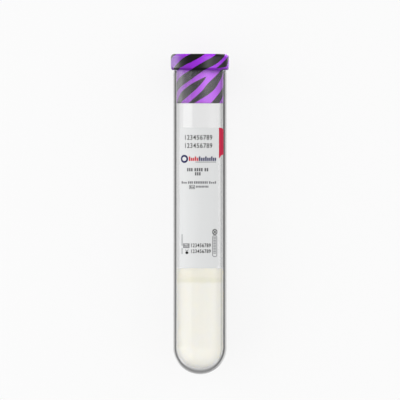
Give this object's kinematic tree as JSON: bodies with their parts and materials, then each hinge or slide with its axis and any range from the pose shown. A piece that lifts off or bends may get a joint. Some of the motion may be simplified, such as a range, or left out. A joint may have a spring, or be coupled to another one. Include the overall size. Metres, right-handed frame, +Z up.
{
  "type": "blood collection tube",
  "caption": "Round-bottomed glass blood collection tube holding separator gel, with a paper label and a zebra-striped rubber stopper that pulls out.",
  "frame": {"origin": "centre of the footprint of the lying tube, on the surface that it lies on", "axes": "+Y runs along the tube towards the stopper, +Z is up and is the side that the label faces, +X is to the right of the label"},
  "size_m": [0.0184, 0.1012, 0.0184],
  "materials": {
    "glass": "polished",
    "rubber": "satin",
    "gel": "satin",
    "label_paper": "matte",
    "sticker_paper": "satin"
  },
  "bodies": {
    "tube": {"glass_tube": "glass", "separator_gel": "gel", "label": "label_paper", "side_sticker": "sticker_paper"},
    "stopper": {"stopper": "rubber"}
  },
  "joints": [
    {"name": "stopper_pull", "type": "slide", "parent": "tube", "child": "stopper", "axis": [0, 1, 0.0082], "range_m": [0, 0.025]}
  ]
}
